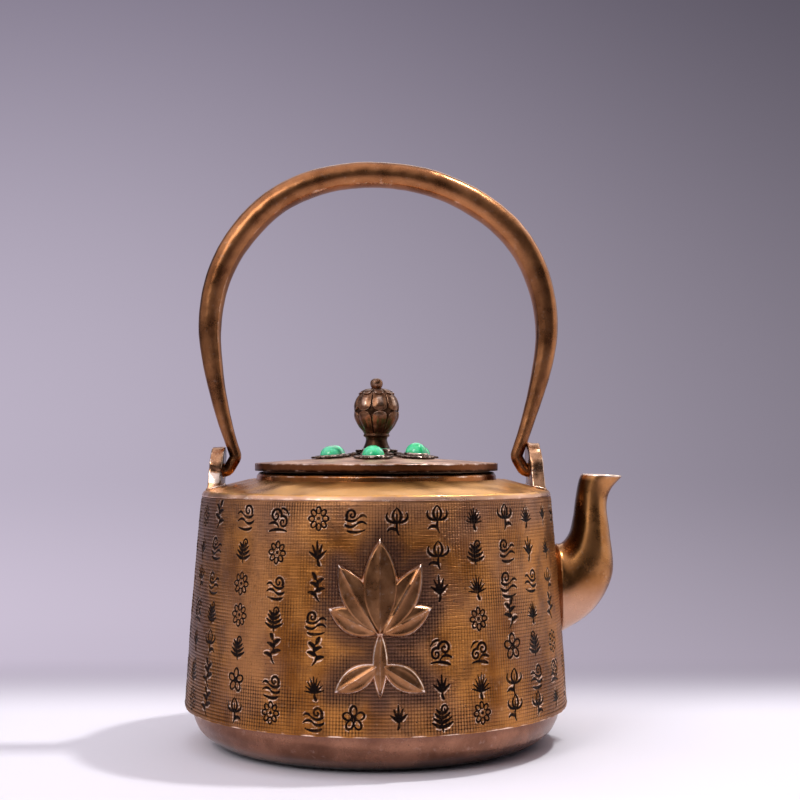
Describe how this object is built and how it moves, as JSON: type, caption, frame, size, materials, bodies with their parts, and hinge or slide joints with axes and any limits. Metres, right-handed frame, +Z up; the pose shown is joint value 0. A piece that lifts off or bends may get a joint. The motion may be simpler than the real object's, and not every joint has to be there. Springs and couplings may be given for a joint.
{
  "type": "teapot",
  "caption": "Cast bronze kettle-shaped teapot with an arched bail handle, a flat lifting lid with a bud knob and green cabochons, and a short curved spout.",
  "frame": {"origin": "middle of the flat base that the teapot stands on", "axes": "+Z up, +X towards the spout, the emblem on the front faces -Y"},
  "size_m": [0.1666, 0.1456, 0.2201],
  "materials": {
    "wall_bronze": "cast bronze, woven ground, worn patina",
    "pan_bronze": "satin brown bronze with fine pits",
    "shoulder_bronze": "satin golden bronze",
    "spout_bronze": "polished golden brown bronze",
    "relief_bronze": "brushed bronze with bright edges",
    "handle_bronze": "satin orange brown bronze",
    "lid_bronze": "speckled brown bronze",
    "dark_bronze": "dark antique bronze with worn tips",
    "brass_fixing": "turned brass",
    "green_stone": "polished green cabochon"
  },
  "bodies": {
    "pot": {"body_wall": "wall_bronze", "base_pan": "pan_bronze", "shoulder_plate": "shoulder_bronze", "neck_collar": "shoulder_bronze", "spout": "spout_bronze", "ear_spout_side": "shoulder_bronze", "ear_far_side": "shoulder_bronze", "lotus_relief": "relief_bronze"},
    "lid": {"lid_disc": "lid_bronze", "lid_flange": "lid_bronze", "knob_rosette": "dark_bronze", "lotus_knob": "dark_bronze", "knob_washer": "brass_fixing", "knob_nut": "brass_fixing", "knob_screw": "brass_fixing", "gem_setting_1": "dark_bronze", "gem_1": "green_stone", "gem_setting_2": "dark_bronze", "gem_2": "green_stone", "gem_setting_3": "dark_bronze", "gem_3": "green_stone", "gem_setting_4": "dark_bronze", "gem_4": "green_stone", "gem_setting_5": "dark_bronze", "gem_5": "green_stone", "gem_setting_6": "dark_bronze", "gem_6": "green_stone"},
    "bail": {"bail_handle": "handle_bronze"}
  },
  "joints": [
    {"name": "bail_swing", "type": "hinge", "parent": "pot", "child": "bail", "pos_m": [0, 0, 0.10173], "axis": [1, 0, 0], "range_deg": [-96, 96]},
    {"name": "lid_lift", "type": "slide", "parent": "pot", "child": "lid", "axis": [0, 0, 1], "range_m": [0, 0.06]}
  ]
}
